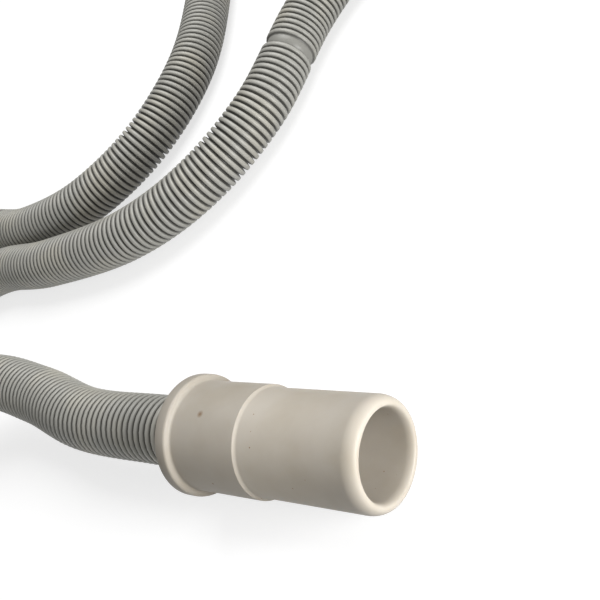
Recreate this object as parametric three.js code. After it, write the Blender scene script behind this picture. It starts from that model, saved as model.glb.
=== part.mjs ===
// Dishwasher drain hose: a corrugated plastic hose with a flanged rubber cuff on its outlet end
// and a plain rubber cuff on its inlet end, lying on a floor in loose loops.
// Millimetres, +Z up. The floor is z = 0 and the origin is the middle of the floor the hose covers.
import * as THREE from 'three';

// Hose
const hoseOuterRadius = 12.5;
const hoseBoreRadius = 9.5;
const hoseSides = 12;
const hoseSteps = 78;

// Fit between the hose and its cuffs
const fitGap = 0.3;
const engagement = 23.5; // how far the hose goes into a cuff
const ribThickness = 3; // the inside rib that the hose end stops at
const ribBoreRadius = 10.5;
const roundSegments = 48;

// Outlet cuff, from its flange towards its mouth
const flangeRadius = 20.5;
const flangeThickness = 4.9;
const outletNeckRadius = 18.3;
const outletNeckLength = 33;
const outletBodyRadius = 17.3;
const outletLength = 76.9;
const outletMouthRadius = 13.4;
const outletLip = 2.3; // rounding of the mouth's outer edge
const mouthRounding = 1; // rounding of the mouth's inner edge
const flangeRounding = 0.9;
const outletBackX = 155;
const outletY = -188;

// Inlet cuff
const inletRadius = 15;
const inletLength = 50;
const inletMouthRadius = 11.2;
const inletRounding = 1.2;

// The outlet cuff lies on its flange and on its mouth, so its axis falls a little towards the mouth.
const outletTilt = Math.atan2(
  flangeRadius - outletBodyRadius,
  outletLength - outletLip - flangeThickness + flangeRounding,
);
const outletBackZ = flangeRadius * Math.cos(outletTilt)
  + (flangeThickness - flangeRounding) * Math.sin(outletTilt);

function onOutletAxis(distance) {
  return new THREE.Vector3(
    outletBackX + distance * Math.cos(outletTilt),
    outletY,
    outletBackZ - distance * Math.sin(outletTilt),
  );
}

// The route of the hose's middle line, from the outlet cuff to the inlet cuff.
// It rises from the outlet cuff, passes over the inlet cuff in a low hump, and then lies on the floor.
const onFloor = hoseOuterRadius;
const inInlet = inletRadius;
const route = [
  onOutletAxis(engagement),
  onOutletAxis(-20),
  new THREE.Vector3(91, -187, 23),
  new THREE.Vector3(52, -179, 24.5),
  new THREE.Vector3(13.5, -175.5, 29),
  new THREE.Vector3(-21, -185.5, 35),
  new THREE.Vector3(-56.5, -210.5, 41.5),
  new THREE.Vector3(-98.5, -239.5, 44.5),
  new THREE.Vector3(-142.5, -247.5, 43),
  new THREE.Vector3(-182.5, -233.5, 36),
  new THREE.Vector3(-210.5, -202, 26),
  new THREE.Vector3(-219, -162, 17),
  new THREE.Vector3(-210, -123, onFloor),
  new THREE.Vector3(-186.5, -93, onFloor),
  new THREE.Vector3(-156, -75, onFloor),
  new THREE.Vector3(-122.5, -69.5, onFloor),
  new THREE.Vector3(-90.5, -72.5, onFloor),
  new THREE.Vector3(-54, -75.5, onFloor),
  new THREE.Vector3(-8, -64, onFloor),
  new THREE.Vector3(26, -32, onFloor),
  new THREE.Vector3(37.5, 15, onFloor),
  new THREE.Vector3(24, 70.5, onFloor),
  new THREE.Vector3(0, 125, onFloor),
  new THREE.Vector3(-0, 173.5, onFloor),
  new THREE.Vector3(22, 215.5, onFloor),
  new THREE.Vector3(62.5, 242, onFloor),
  new THREE.Vector3(111, 245.5, onFloor),
  new THREE.Vector3(154.5, 224.5, onFloor),
  new THREE.Vector3(182, 185.5, onFloor),
  new THREE.Vector3(186.5, 138.5, onFloor),
  new THREE.Vector3(169, 94.5, onFloor),
  new THREE.Vector3(134.5, 56, onFloor),
  new THREE.Vector3(118, 21.5, onFloor),
  new THREE.Vector3(109, -30.5, onFloor),
  new THREE.Vector3(84.5, -68, onFloor),
  new THREE.Vector3(44.5, -91.5, onFloor),
  new THREE.Vector3(-15, -101.5, onFloor),
  new THREE.Vector3(-56.5, -102, onFloor),
  new THREE.Vector3(-85, -109, onFloor),
  new THREE.Vector3(-109, -123.5, 13),
  new THREE.Vector3(-128, -144, 13.5),
  new THREE.Vector3(-139.5, -169, 14.5),
  new THREE.Vector3(-143.5, -196, inInlet),
  new THREE.Vector3(-143.5, -216, inInlet),
  new THREE.Vector3(-143.5, -236, inInlet),
];
const hoseFarEnd = route[route.length - 1];

function circle(radius, sides) {
  return Array.from({ length: sides }, (_, i) => {
    const turn = ((i + 0.5) / sides) * 2 * Math.PI;
    return new THREE.Vector2(radius * Math.cos(turn), radius * Math.sin(turn));
  });
}

// A quarter-round edge, as points from one angle to another about a centre.
function rounded(centreR, centreY, radius, fromDegrees, toDegrees, steps = 4) {
  return Array.from({ length: steps + 1 }, (_, i) => {
    const angle = THREE.MathUtils.degToRad(fromDegrees + ((toDegrees - fromDegrees) * i) / steps);
    return new THREE.Vector2(centreR + radius * Math.cos(angle), centreY + radius * Math.sin(angle));
  });
}

function plastic(color, roughness) {
  return new THREE.MeshStandardMaterial({ color, roughness, metalness: 0 });
}

// A turned piece: the profile runs up its outside and back down its bore, and its axis becomes +X.
function turned(profile) {
  const closed = [...profile, profile[0].clone()];
  return new THREE.LatheGeometry(closed, roundSegments).rotateZ(-Math.PI / 2);
}

// The socket, the rib that the hose stops at, and the bore on to the mouth, from the mouth inwards.
function innerProfile(mouthRadius, length, edge) {
  const socketRadius = hoseOuterRadius + fitGap;
  const socketDepth = engagement + fitGap;
  return [
    ...rounded(mouthRadius + edge, length - edge, edge, 90, 180),
    new THREE.Vector2(mouthRadius, socketDepth + ribThickness),
    new THREE.Vector2(ribBoreRadius, socketDepth + ribThickness),
    new THREE.Vector2(ribBoreRadius, socketDepth),
    new THREE.Vector2(socketRadius, socketDepth),
    new THREE.Vector2(socketRadius, 0),
  ];
}

function corrugatedHose() {
  const section = new THREE.Shape(circle(hoseOuterRadius, hoseSides));
  section.holes.push(new THREE.Path(circle(hoseBoreRadius, hoseSides)));
  const line = new THREE.CatmullRomCurve3(route, false, 'catmullrom', 0.5);
  line.arcLengthDivisions = 2000;
  const geometry = new THREE.ExtrudeGeometry(section, { steps: hoseSteps, extrudePath: line });
  const mesh = new THREE.Mesh(geometry, plastic(0xa0a098, 0.5));
  mesh.name = 'corrugated_hose';
  return mesh;
}

function outletCuff() {
  const profile = [
    ...rounded(flangeRadius - flangeRounding, flangeRounding, flangeRounding, -90, 0),
    ...rounded(flangeRadius - flangeRounding, flangeThickness - flangeRounding, flangeRounding, 0, 90),
    new THREE.Vector2(outletNeckRadius, flangeThickness),
    new THREE.Vector2(outletNeckRadius, outletNeckLength),
    new THREE.Vector2(outletBodyRadius, outletNeckLength + (outletNeckRadius - outletBodyRadius) / 2),
    ...rounded(outletBodyRadius - outletLip, outletLength - outletLip, outletLip, 0, 90, 6),
    ...innerProfile(outletMouthRadius, outletLength, mouthRounding),
  ];
  const mesh = new THREE.Mesh(turned(profile), plastic(0xd6d0c4, 0.6));
  mesh.name = 'outlet_cuff';
  mesh.rotation.y = outletTilt;
  mesh.position.copy(onOutletAxis(0));
  return mesh;
}

function inletCuff() {
  const profile = [
    ...rounded(inletRadius - inletRounding, inletRounding, inletRounding, -90, 0),
    ...rounded(inletRadius - inletRounding, inletLength - inletRounding, inletRounding, 0, 90),
    ...innerProfile(inletMouthRadius, inletLength, mouthRounding),
  ];
  const mesh = new THREE.Mesh(turned(profile), plastic(0xd6d0c4, 0.6));
  mesh.name = 'inlet_cuff';
  mesh.rotation.z = -Math.PI / 2;
  mesh.position.set(hoseFarEnd.x, hoseFarEnd.y + engagement, hoseFarEnd.z);
  return mesh;
}

const drainHose = new THREE.Group();
drainHose.name = 'dishwasher_drain_hose';
drainHose.add(corrugatedHose(), outletCuff(), inletCuff());

export default drainHose;
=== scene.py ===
import math

import bmesh
import bpy
import numpy as np
from mathutils import Matrix, Vector


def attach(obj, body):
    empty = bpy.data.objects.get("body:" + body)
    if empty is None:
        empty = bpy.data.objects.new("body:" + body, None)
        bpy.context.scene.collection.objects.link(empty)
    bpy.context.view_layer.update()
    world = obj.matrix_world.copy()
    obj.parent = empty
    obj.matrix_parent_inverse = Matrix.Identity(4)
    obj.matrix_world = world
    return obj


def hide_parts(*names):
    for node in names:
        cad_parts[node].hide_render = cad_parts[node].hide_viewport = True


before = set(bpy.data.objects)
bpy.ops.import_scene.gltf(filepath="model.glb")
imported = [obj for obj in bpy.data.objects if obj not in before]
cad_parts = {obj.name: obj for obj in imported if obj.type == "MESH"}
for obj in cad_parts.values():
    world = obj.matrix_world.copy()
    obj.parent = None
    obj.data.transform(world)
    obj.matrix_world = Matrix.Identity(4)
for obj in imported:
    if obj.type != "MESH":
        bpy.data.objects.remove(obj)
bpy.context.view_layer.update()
print("frame loaded")

# Places of the cuffs' back faces, in metres.
# The outlet cuff lies on its flange and its mouth, so its axis falls towards the mouth.
outletPlace = {"back": Vector((0.155, -0.188, 0.02066)), "tilt": 0.04529}
inletPlace = {"back": Vector((-0.1435, -0.2125, 0.015))}


def onOutletAxis(distance):
    tilt = outletPlace["tilt"]
    return outletPlace["back"] + distance * Vector((math.cos(tilt), 0, -math.sin(tilt)))


def srgb(red, green, blue):
    return tuple(((c / 255 + 0.055) / 1.055) ** 2.4 for c in (red, green, blue)) + (1,)


# Materials

hoseLook = {
    "ring": srgb(172, 171, 164),  # the crowns of the rings
    "grooveShade": srgb(36, 35, 31),  # painted shade between the rings
    "dust": srgb(190, 186, 172),
    "dustScale": 45,
    "dustDetail": 4,
    "dustRange": (0.45, 0.8),  # of the noise, from no dust to full dust
    "roughness": 0.42,
}

cuffLook = {
    "rubber": srgb(165, 158, 147),
    "worn": srgb(156, 148, 134),
    "wearScale": 60,
    "wearDetail": 6,
    "wearRange": (0.4, 0.75),
    "speck": srgb(112, 84, 52),
    "speckScale": 700,
    "speckDetail": 1,
    "speckRange": (0.8, 0.83),
    # painted light: the cuff's bore is coloured much lighter than the outside rubber, standing in for light
    # inside the mouth
    "bore": srgb(246, 215, 170),
    "roughness": 0.55,
    "boreRoughness": 0.7,
    "softness": 0.05,  # how much light goes into the rubber
    "softDepth": (0.003, 0.002, 0.001),
    "smudgePlace": (0.1726, -0.1871, 0.0381),  # a brown mark on the outlet cuff, between flange and step
    "smudgeSize": 0.0014,
}


def newMaterial(name):
    material = bpy.data.materials.new(name)
    material.use_nodes = True
    nodes = material.node_tree.nodes
    return material, nodes, material.node_tree.links, nodes["Principled BSDF"]


def mixColour(nodes, links, factor, first, second):
    mix = nodes.new("ShaderNodeMix")
    mix.data_type = "RGBA"
    links.new(factor, mix.inputs[0])
    for socket, value in ((mix.inputs[6], first), (mix.inputs[7], second)):
        if isinstance(value, tuple):
            socket.default_value = value
        else:
            links.new(value, socket)
    return mix.outputs[2]


def ramp(nodes, links, value, low, high):
    # 0 at low and 1 at high
    node = nodes.new("ShaderNodeMapRange")
    node.inputs["From Min"].default_value = low
    node.inputs["From Max"].default_value = high
    links.new(value, node.inputs["Value"])
    return node.outputs["Result"]


def noise(nodes, links, scale, detail):
    place = nodes.new("ShaderNodeTexCoord")
    node = nodes.new("ShaderNodeTexNoise")
    node.inputs["Scale"].default_value = scale
    node.inputs["Detail"].default_value = detail
    links.new(place.outputs["Object"], node.inputs["Vector"])
    return node.outputs["Fac"]


def hosePlastic():
    material, nodes, links, shader = newMaterial("hosePlastic")
    shadeToCrown = nodes.new("ShaderNodeAttribute")
    shadeToCrown.attribute_name = "shadeToCrown"
    dust = noise(nodes, links, hoseLook["dustScale"], hoseLook["dustDetail"])
    dusty = ramp(nodes, links, dust, *hoseLook["dustRange"])
    ringColour = mixColour(nodes, links, dusty, hoseLook["ring"], hoseLook["dust"])
    # Painted shade: the per-point factor colours the grooves dark and the crowns in the ring colour
    colour = mixColour(nodes, links, shadeToCrown.outputs["Fac"], hoseLook["grooveShade"], ringColour)
    links.new(colour, shader.inputs["Base Color"])
    shader.inputs["Roughness"].default_value = hoseLook["roughness"]
    return material


def cuffRubber():
    material, nodes, links, shader = newMaterial("cuffRubber")
    wear = noise(nodes, links, cuffLook["wearScale"], cuffLook["wearDetail"])
    worn = ramp(nodes, links, wear, *cuffLook["wearRange"])
    colour = mixColour(nodes, links, worn, cuffLook["rubber"], cuffLook["worn"])
    dirt = noise(nodes, links, cuffLook["speckScale"], cuffLook["speckDetail"])
    specks = ramp(nodes, links, dirt, *cuffLook["speckRange"])
    colour = mixColour(nodes, links, specks, colour, cuffLook["speck"])
    place = nodes.new("ShaderNodeTexCoord")
    away = nodes.new("ShaderNodeVectorMath")
    away.operation = "DISTANCE"
    away.inputs[1].default_value = cuffLook["smudgePlace"]
    links.new(place.outputs["Object"], away.inputs[0])
    smudge = ramp(nodes, links, away.outputs["Value"], cuffLook["smudgeSize"], 0.0)
    colour = mixColour(nodes, links, smudge, colour, cuffLook["speck"])
    links.new(colour, shader.inputs["Base Color"])
    shader.inputs["Roughness"].default_value = cuffLook["roughness"]
    shader.inputs["Subsurface Weight"].default_value = cuffLook["softness"]
    shader.inputs["Subsurface Radius"].default_value = cuffLook["softDepth"]
    return material


# The cuff's bore: a lighter copy of the rubber, painted light inside the mouth
def litBoreRubber():
    material, nodes, links, shader = newMaterial("litBoreRubber")
    shader.inputs["Base Color"].default_value = cuffLook["bore"]
    shader.inputs["Roughness"].default_value = cuffLook["boreRoughness"]
    return material


hoseMaterial = hosePlastic()
cuffMaterial = cuffRubber()
litBoreMaterial = litBoreRubber()
print("materials made")


# Cuffs, turned by extruding a circle along its profile, in metres along the axis from the back face

outletCuff = {
    "flange": 0.0205,  # this and the other widths are radii
    "flangeThickness": 0.0049,
    "flangeEdge": 0.0009,
    "fillet": 0.0009,  # between the flange and the neck
    "neck": 0.0183,
    "neckLength": 0.033,  # from the back face to the step
    "stepEdge": 0.0003,
    "body": 0.0173,
    "length": 0.0769,
    "mouth": 0.0134,
    "lip": 0.0023,
    "lipLength": 0.0045,
    "innerEdge": 0.0012,
    "innerEdgeLength": 0.003,
    "sides": 96,
}

inletCuff = {
    "body": 0.015,
    "length": 0.05,
    "mouth": 0.0112,
    "edge": 0.0012,
    "innerEdge": 0.001,
    "innerEdgeLength": 0.001,
    "sides": 96,
}

socket = {
    "radius": 0.0128,
    "depth": 0.0238,
    "rib": 0.003,  # the length of the inside rib that the hose stops at
    "ribBore": 0.0105,
    "ribEdge": 0.001,
    "edge": 0.0004,
}


def roundEdge(centreRadius, centreHeight, radius, fromDegrees, toDegrees, steps, length=None):
    # A rounded edge, drawn out along the axis where a length is given
    turn = toDegrees - fromDegrees
    angles = [math.radians(fromDegrees + turn * i / steps) for i in range(steps + 1)]
    length = length or radius
    return [(centreRadius + radius * math.cos(a), centreHeight + length * math.sin(a)) for a in angles]


def boreProfile(cuff):
    edge, length, mouth = cuff["innerEdge"], cuff["length"], cuff["mouth"]
    edgeLength = cuff["innerEdgeLength"]
    ribTop = socket["depth"] + socket["rib"]
    return roundEdge(mouth + edge, length - edgeLength, edge, 90, 180, 6, edgeLength) + [
        (mouth, ribTop + socket["ribEdge"]),
        (mouth - socket["edge"], ribTop),
        (socket["ribBore"], ribTop),
        (socket["ribBore"], socket["depth"]),
        (socket["radius"], socket["depth"]),
        (socket["radius"], socket["edge"]),
        (socket["radius"] + socket["edge"], 0),
    ]


def outletProfile():
    c = outletCuff
    flangeEdge, fillet, stepEdge = c["flangeEdge"], c["fillet"], c["stepEdge"]
    return (
        roundEdge(c["flange"] - flangeEdge, flangeEdge, flangeEdge, -90, 0, 4)
        + roundEdge(c["flange"] - flangeEdge, c["flangeThickness"] - flangeEdge, flangeEdge, 0, 90, 4)
        + [(c["neck"] + fillet, c["flangeThickness"] + 0.0001)]
        + roundEdge(c["neck"] + fillet, c["flangeThickness"] + 0.001, fillet, 270, 180, 3)
        + roundEdge(c["neck"] - stepEdge, c["neckLength"] - stepEdge, stepEdge, 0, 70, 3)
        + [(c["body"] + stepEdge, c["neckLength"] + 0.0004)]
        + [(c["body"], c["neckLength"] + 0.0009)]
        + roundEdge(c["body"] - c["lip"], c["length"] - c["lipLength"], c["lip"], 0, 90, 12, c["lipLength"])
        + boreProfile(c)
    )


def inletProfile():
    c = inletCuff
    return (
        roundEdge(c["body"] - c["edge"], c["edge"], c["edge"], -90, 0, 5)
        + roundEdge(c["body"] - c["edge"], c["length"] - c["edge"], c["edge"], 0, 90, 5)
        + boreProfile(c)
    )


def turnedCuff(name, profile, sides, turn, place):
    bpy.ops.object.select_all(action="DESELECT")
    bpy.ops.mesh.primitive_circle_add(vertices=sides, radius=profile[0][0], location=(0, 0, profile[0][1]))
    cuff = bpy.context.object
    cuff.name = name
    bpy.ops.object.transform_apply(location=True, rotation=True, scale=True)
    bpy.ops.object.mode_set(mode="EDIT")
    bpy.ops.mesh.select_all(action="SELECT")
    for (radius, height), (nextRadius, nextHeight) in zip(profile, profile[1:] + profile[:1]):
        bpy.ops.mesh.extrude_region_move(TRANSFORM_OT_translate={"value": (0, 0, nextHeight - height)})
        grow = nextRadius / radius
        bpy.ops.transform.resize(value=(grow, grow, 1), center_override=(0, 0, nextHeight))
    bpy.ops.mesh.select_all(action="SELECT")
    bpy.ops.mesh.remove_doubles(threshold=0.000005)
    bpy.ops.mesh.normals_make_consistent(inside=False)
    bpy.ops.object.mode_set(mode="OBJECT")
    cuff.rotation_euler = turn
    cuff.location = place
    cuff.data.materials.append(cuffMaterial)
    cuff.data.materials.append(litBoreMaterial)
    # Faces in the socket take the bore material with its painted light
    for face in cuff.data.polygons:
        # The piece still stands along Z here, so this finds the faces no wider than the socket
        if math.hypot(face.center.x, face.center.y) < socket["radius"] + 0.0002:
            face.material_index = 1
    bpy.ops.object.transform_apply(location=True, rotation=True, scale=True)
    bpy.ops.object.shade_smooth_by_angle(angle=math.radians(38))
    return cuff


outletPiece = turnedCuff(
    "outletCuff",
    outletProfile(),
    outletCuff["sides"],
    (0, math.pi / 2 + outletPlace["tilt"], 0),
    outletPlace["back"],
)
inletPiece = turnedCuff(
    "inletCuff",
    inletProfile(),
    inletCuff["sides"],
    (math.pi / 2, 0, 0),
    inletPlace["back"],
)
for piece, node in ((outletPiece, "outlet_cuff"), (inletPiece, "inlet_cuff")):
    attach(piece, "root")
    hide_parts(node)
print("cuffs made")


# The hose: one tube of rings along the route that the CAD tube has

hose = {
    "radius": 0.0125,
    "bore": 0.0095,
    "pitch": 0.003,  # from ring to ring
    "grooveDepth": 0.0024,
    "crownDrop": 0.00004,  # keeps the crowns just inside the hose's radius
    "collarRadius": 0.0112,  # the plain collars between stretches of rings
    "collarLength": 0.0046,
    "collarPlaces": (0.6608, 1.4514),  # along the hose
    "collarEdge": 0.0006,
    "engagement": 0.0235,  # how far the hose goes into a cuff
    "plainEnd": 0.0325,  # from the hose's end to its first ring
    "sides": 28,
}

# One ring, from groove to groove: distance in thirds of the pitch, how far below the crown as a share
# of the groove's depth, and the colour, from 0 for the painted shade in the groove to 1 on the crown
ringShape = (
    (0, 1, 0.0),
    (0.42, 0.35, 0.2),
    (0.75, 0.06, 0.95),
    (1.5, 0, 1.0),
    (2.25, 0.06, 0.95),
    (2.58, 0.35, 0.2),
)

# Colours of the plain stretches and the bore, on the same scale; the low values paint shade on the neck,
# the collars' sides and the hose's bore
plainShading = {"end": 0.8, "neck": 0.1, "collar": 0.7, "collarSideShade": 0.35, "bore": 0.1}

floorHeight = hose["radius"]
inletHeight = inletPlace["back"].z
route = [
    onOutletAxis(hose["engagement"]),
    onOutletAxis(-0.020),
    (0.0910, -0.1870, 0.0230),
    (0.0520, -0.1790, 0.0245),
    (0.0135, -0.1755, 0.0290),
    (-0.0210, -0.1855, 0.0350),
    (-0.0565, -0.2105, 0.0415),
    (-0.0985, -0.2395, 0.0445),
    (-0.1425, -0.2475, 0.0430),
    (-0.1825, -0.2335, 0.0360),
    (-0.2105, -0.2020, 0.0260),
    (-0.2190, -0.1620, 0.0170),
    (-0.2100, -0.1230, floorHeight),
    (-0.1865, -0.0930, floorHeight),
    (-0.1560, -0.0750, floorHeight),
    (-0.1225, -0.0695, floorHeight),
    (-0.0905, -0.0725, floorHeight),
    (-0.0540, -0.0755, floorHeight),
    (-0.0080, -0.0640, floorHeight),
    (0.0260, -0.0320, floorHeight),
    (0.0375, 0.0150, floorHeight),
    (0.0240, 0.0705, floorHeight),
    (0.0000, 0.1250, floorHeight),
    (0.0000, 0.1735, floorHeight),
    (0.0220, 0.2155, floorHeight),
    (0.0625, 0.2420, floorHeight),
    (0.1110, 0.2455, floorHeight),
    (0.1545, 0.2245, floorHeight),
    (0.1820, 0.1855, floorHeight),
    (0.1865, 0.1385, floorHeight),
    (0.1690, 0.0945, floorHeight),
    (0.1345, 0.0560, floorHeight),
    (0.1180, 0.0215, floorHeight),
    (0.1090, -0.0305, floorHeight),
    (0.0845, -0.0680, floorHeight),
    (0.0445, -0.0915, floorHeight),
    (-0.0150, -0.1015, floorHeight),
    (-0.0565, -0.1020, floorHeight),
    (-0.0850, -0.1090, floorHeight),
    (-0.1090, -0.1235, 0.0130),
    (-0.1280, -0.1440, 0.0135),
    (-0.1395, -0.1690, 0.0145),
    (-0.1435, -0.1960, inletHeight),
    (-0.1435, -0.2160, inletHeight),
    (-0.1435, -0.2360, inletHeight),
]


def smoothLine(points, steps=24):
    # A Catmull-Rom curve, as the CAD tube has
    points = np.array([tuple(p) for p in points])
    points = np.vstack([2 * points[0] - points[1], points, 2 * points[-1] - points[-2]])
    t = (np.arange(steps) / steps)[:, None]
    line = []
    for a, b, c, d in zip(points, points[1:], points[2:], points[3:]):
        square = (2 * a - 5 * b + 4 * c - d) * t**2
        cube = (3 * b - a - 3 * c + d) * t**3
        line.append(0.5 * (2 * b + (c - a) * t + square + cube))
    line.append(points[-2:-1])
    return np.vstack(line)


def ringStations(length):
    # Distance along the hose, radius and colour from painted shade to crown, for each loop of the tube's
    # outside
    depth, radius, collarRadius = hose["grooveDepth"], hose["radius"], hose["collarRadius"]
    half = hose["collarLength"] / 2
    collars = [(p - half, p + half) for p in hose["collarPlaces"]]
    plain = [(0, hose["plainEnd"])] + collars + [(length - hose["plainEnd"], length)]
    stations = []
    for (_, start), (end, nextStart) in zip(plain, plain[1:]):
        count = round((end - start) / hose["pitch"])
        pitch = (end - start) / count
        for ring in range(count):
            for thirds, share, colour in ringShape:
                below = max(share * depth, hose["crownDrop"])
                stations.append((start + (ring + thirds / 3) * pitch, radius - below, colour))
        # painted shade on the collars' stepped sides
        stations.append((end, collarRadius, plainShading["collarSideShade"]))
        stations.append((end + hose["collarEdge"], collarRadius, plainShading["collar"]))
        if nextStart < length:
            stations.append((nextStart - hose["collarEdge"], collarRadius, plainShading["collar"]))
    inCuff = hose["engagement"]
    # The hose's ends are plain; the neck next to each cuff is painted shade
    first = [
        (0, radius, plainShading["end"]),
        (inCuff - 0.001, radius, plainShading["end"]),
        (inCuff - 0.0005, collarRadius, plainShading["neck"]),
    ]
    last = [
        (length - inCuff + 0.0005, collarRadius, plainShading["neck"]),
        (length - inCuff + 0.001, radius, plainShading["end"]),
        (length, radius, plainShading["end"]),
    ]
    return first + stations + last


def makeHose():
    line = smoothLine(route)
    steps = np.linalg.norm(np.diff(line, axis=0), axis=1)
    along = np.concatenate([[0], np.cumsum(steps)])
    length = float(along[-1])

    def centreAt(distance):
        return np.array([np.interp(distance, along, line[:, k]) for k in range(3)])

    def loopAt(distance, radius):
        reach = 0.001
        ahead = centreAt(min(distance + reach, length)) - centreAt(max(distance - reach, 0))
        ahead /= np.linalg.norm(ahead)
        side = np.cross(ahead, (0, 0, 1))  # the hose never stands upright, so this never fails
        side /= np.linalg.norm(side)
        up = np.cross(side, ahead)
        turns = np.arange(hose["sides"]) * 2 * math.pi / hose["sides"]
        return centreAt(distance) + radius * (np.outer(np.cos(turns), side) + np.outer(np.sin(turns), up))

    outside = ringStations(length)
    boreStep = 0.012
    borePlaces = np.linspace(length, 0, int(length / boreStep))
    # The hose's bore is painted shade
    inside = [(distance, hose["bore"], plainShading["bore"]) for distance in borePlaces]
    loops = outside + inside
    mesh = bmesh.new()
    rows = [[mesh.verts.new(p) for p in loopAt(distance, radius)] for distance, radius, _ in loops]
    for row, nextRow in zip(rows, rows[1:] + rows[:1]):
        for i in range(hose["sides"]):
            j = (i + 1) % hose["sides"]
            mesh.faces.new((row[i], row[j], nextRow[j], nextRow[i]))
    bmesh.ops.recalc_face_normals(mesh, faces=mesh.faces)
    data = bpy.data.meshes.new("corrugatedHose")
    mesh.to_mesh(data)
    mesh.free()
    # The per-point factor for the hose's painted shade: 0 in the grooves, 1 on the crowns
    shadeToCrown = data.attributes.new("shadeToCrown", "FLOAT", "POINT")
    colours = np.repeat([colour for _, _, colour in loops], hose["sides"])
    shadeToCrown.data.foreach_set("value", colours.astype(np.float32))
    data.materials.append(hoseMaterial)
    piece = bpy.data.objects.new("corrugatedHose", data)
    bpy.context.collection.objects.link(piece)
    for face in data.polygons:
        face.use_smooth = True
    path = [tuple(centreAt(d)) for d in np.linspace(0, length, 400)]
    return piece, length, path


hosePiece, hoseLength, hosePath = makeHose()
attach(hosePiece, "root")
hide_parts("corrugated_hose")
print("hose made", round(hoseLength, 3), "m,", len(hosePiece.data.polygons), "faces")


# Floor, light and camera

studio = {
    "floorSize": 6,
    "floorBounce": 0.45,  # how light the floor is to the object
    "floorShade": 0.4,  # how much of the floor's own shading the camera sees
    "floorGlow": 0.72,  # what keeps the floor white to the camera
    "worldStrength": 0.25,
}

lamps = {
    "above": {"place": (0.2, 0.62, 1.05), "aim": (0.1, -0.05, 0), "size": 0.9, "watts": 13},
    "intoTheBore": {"place": (0.45, -0.19, 0.07), "aim": (0.22, -0.185, 0.018), "size": 0.1, "watts": 1.1},
}


def makeFloor():
    bpy.ops.object.select_all(action="DESELECT")
    bpy.ops.mesh.primitive_plane_add(size=studio["floorSize"], location=(0, 0, 0))
    floor = bpy.context.object
    floor.name = "floor"
    material, nodes, links, shader = newMaterial("floorWhite")
    nodes.remove(shader)
    seen = nodes.new("ShaderNodeBsdfDiffuse")
    seen.inputs["Color"].default_value = (studio["floorShade"],) * 3 + (1,)
    glow = nodes.new("ShaderNodeEmission")
    glow.inputs["Strength"].default_value = studio["floorGlow"]
    added = nodes.new("ShaderNodeAddShader")
    links.new(seen.outputs[0], added.inputs[0])
    links.new(glow.outputs[0], added.inputs[1])
    bounce = nodes.new("ShaderNodeBsdfDiffuse")
    bounce.inputs["Color"].default_value = (studio["floorBounce"],) * 3 + (1,)
    rays = nodes.new("ShaderNodeLightPath")
    glossy = nodes.new("ShaderNodeMath")
    glossy.operation = "MAXIMUM"
    links.new(rays.outputs["Is Camera Ray"], glossy.inputs[0])
    links.new(rays.outputs["Is Glossy Ray"], glossy.inputs[1])
    mix = nodes.new("ShaderNodeMixShader")
    links.new(glossy.outputs[0], mix.inputs[0])
    links.new(bounce.outputs[0], mix.inputs[1])
    links.new(added.outputs[0], mix.inputs[2])
    links.new(mix.outputs[0], nodes["Material Output"].inputs["Surface"])
    floor.data.materials.append(material)
    return floor


def makeLight():
    world = bpy.data.worlds.new("studio")
    world.use_nodes = True
    world.node_tree.nodes["Background"].inputs["Color"].default_value = (1, 1, 1, 1)
    world.node_tree.nodes["Background"].inputs["Strength"].default_value = studio["worldStrength"]
    bpy.context.scene.world = world
    for name, value in lamps.items():
        bpy.ops.object.light_add(type="AREA", location=value["place"])
        lamp = bpy.context.object
        lamp.name = name
        lamp.data.size = value["size"]
        lamp.data.energy = value["watts"]
        aim = Vector(value["aim"]) - lamp.location
        lamp.rotation_euler = aim.to_track_quat("-Z", "Y").to_euler()


camera = {
    "place": (0.37388, -0.24537, 0.20429),
    "right": (0.74047, 0.28738, -0.60755),
    "up": (0.04423, 0.88117, 0.47072),
    "view": (-0.67064, 0.37542, -0.63977),
    "lens": 50.36,
    "sensor": 36,
}


def makeCamera():
    data = bpy.data.cameras.new("photoCamera")
    data.lens = camera["lens"]
    data.sensor_width = camera["sensor"]
    data.clip_start = 0.01
    eye = bpy.data.objects.new("photoCamera", data)
    bpy.context.collection.objects.link(eye)
    turn = Matrix((camera["right"], camera["up"], tuple(-v for v in camera["view"]))).transposed()
    eye.matrix_world = Matrix.Translation(camera["place"]) @ turn.to_quaternion().to_matrix().to_4x4()
    bpy.context.scene.camera = eye


makeFloor()
makeLight()
makeCamera()
bpy.context.scene.view_settings.view_transform = "Standard"
print("studio made")
